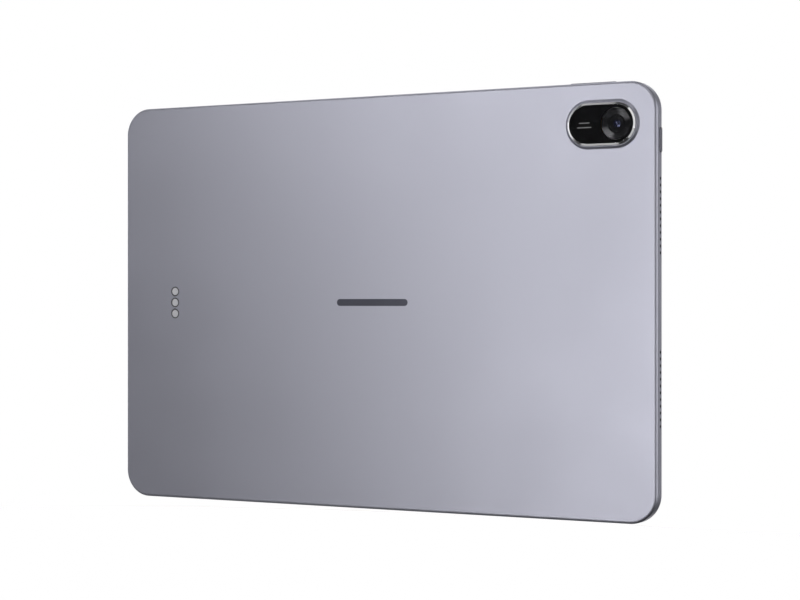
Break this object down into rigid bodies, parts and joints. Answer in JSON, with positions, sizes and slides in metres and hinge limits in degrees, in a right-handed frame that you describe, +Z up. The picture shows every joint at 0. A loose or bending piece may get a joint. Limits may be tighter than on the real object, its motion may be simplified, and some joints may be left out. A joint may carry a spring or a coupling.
{
  "type": "tablet computer",
  "caption": "Slim tablet computer with an aluminium body, pill-shaped rear camera, volume rocker, power key, USB-C port, speakers and rear contacts for a keyboard cover.",
  "frame": {"origin": "centre of the rear panel's flat outer face", "axes": "upright in landscape: +Y out of the rear panel, display faces -Y, +Z up, +X right for someone who looks at the display"},
  "size_m": [0.2615, 0.008, 0.1775],
  "materials": {
    "anodised_aluminium": "fine bead-blasted, violet-grey anodised",
    "polished_trim": "diamond-cut, polished",
    "display_glass": "polished, black mask behind it",
    "camera_glass": "polished, black mask behind it",
    "lens_glass": "coated, faint blue reflection",
    "turned_ring": "black, turned in fine circles",
    "black_plastic": "fine matt",
    "lcd": "dark, glossy",
    "light_guide": "white, satin",
    "clear_adhesive": "clear",
    "steel": "rolled sheet",
    "contact_plating": "satin plated",
    "insulator": "dark grey, matt",
    "cell_foil": "black foil pouch",
    "magnet": "nickel plated",
    "circuit_board": "solder mask",
    "chip": "moulded black",
    "ribbon": "amber film",
    "graphite": "dark grey sheet",
    "dust_mesh": "black woven steel"
  },
  "bodies": {
    "chassis": {"antenna_lower": "black_plastic", "antenna_upper": "black_plastic", "backlight_unit": "light_guide", "battery_cell_left": "cell_foil", "battery_cell_right": "cell_foil", "battery_protection_board": "circuit_board", "camera_flex": "ribbon", "camera_housing": "black_plastic", "camera_lens_ring": "turned_ring", "camera_sensor_board": "circuit_board", "camera_trim": "polished_trim", "camera_window": "camera_glass", "contact_carrier": "insulator", "cover_glass": "display_glass", "display_driver_board": "ribbon", "display_frame": "black_plastic", "dock_contact_lower": "contact_plating", "dock_contact_middle": "contact_plating", "dock_contact_upper": "contact_plating", "dock_flex": "ribbon", "dock_magnet_lower": "magnet", "dock_magnet_upper": "magnet", "front_camera": "black_plastic", "graphite_sheet": "graphite", "lcd_back_plate": "steel", "lcd_panel": "lcd", "light_sensor": "clear_adhesive", "main_board": "circuit_board", "main_board_screw_1": "steel", "main_board_screw_2": "steel", "main_board_screw_3": "steel", "main_board_screw_4": "steel", "main_flex": "ribbon", "microphone_left": "contact_plating", "microphone_right": "contact_plating", "optical_adhesive": "clear_adhesive", "power_shield": "steel", "power_switch": "steel", "processor": "chip", "processor_shield": "steel", "rear_cover": "anodised_aluminium", "speaker_left_lower": "black_plastic", "speaker_left_upper": "black_plastic", "speaker_mesh_left_lower": "dust_mesh", "speaker_mesh_left_upper": "dust_mesh", "speaker_mesh_right_lower": "dust_mesh", "speaker_mesh_right_upper": "dust_mesh", "speaker_right_lower": "black_plastic", "speaker_right_upper": "black_plastic", "usb_board": "circuit_board", "usb_board_screw_1": "steel", "usb_board_screw_2": "steel", "usb_c_shell": "steel", "usb_c_tongue": "black_plastic", "volume_switch_down": "steel", "volume_switch_up": "steel"},
    "power_key": {"power_key": "anodised_aluminium"},
    "volume_key": {"volume_key": "anodised_aluminium"},
    "autofocus_lens": {"camera_lens_barrel": "black_plastic", "camera_front_lens": "lens_glass"}
  },
  "joints": [
    {"name": "power_key_press", "type": "slide", "parent": "chassis", "child": "power_key", "axis": [1, 0, 0], "range_m": [0, 0.0003], "stiffness_N_per_m": 5000, "springref_m": -0.0001},
    {"name": "volume_key_rock", "type": "hinge", "parent": "chassis", "child": "volume_key", "pos_m": [-0.1015, -0.004, 0.08575], "axis": [0, 1, 0], "range_deg": [-1.2, 1.2], "stiffness_Nm_per_rad": 0.5},
    {"name": "autofocus_slide", "type": "slide", "parent": "chassis", "child": "autofocus_lens", "axis": [0, 1, 0], "range_m": [0, 0.0003], "stiffness_N_per_m": 60, "springref_m": -0.0001}
  ]
}
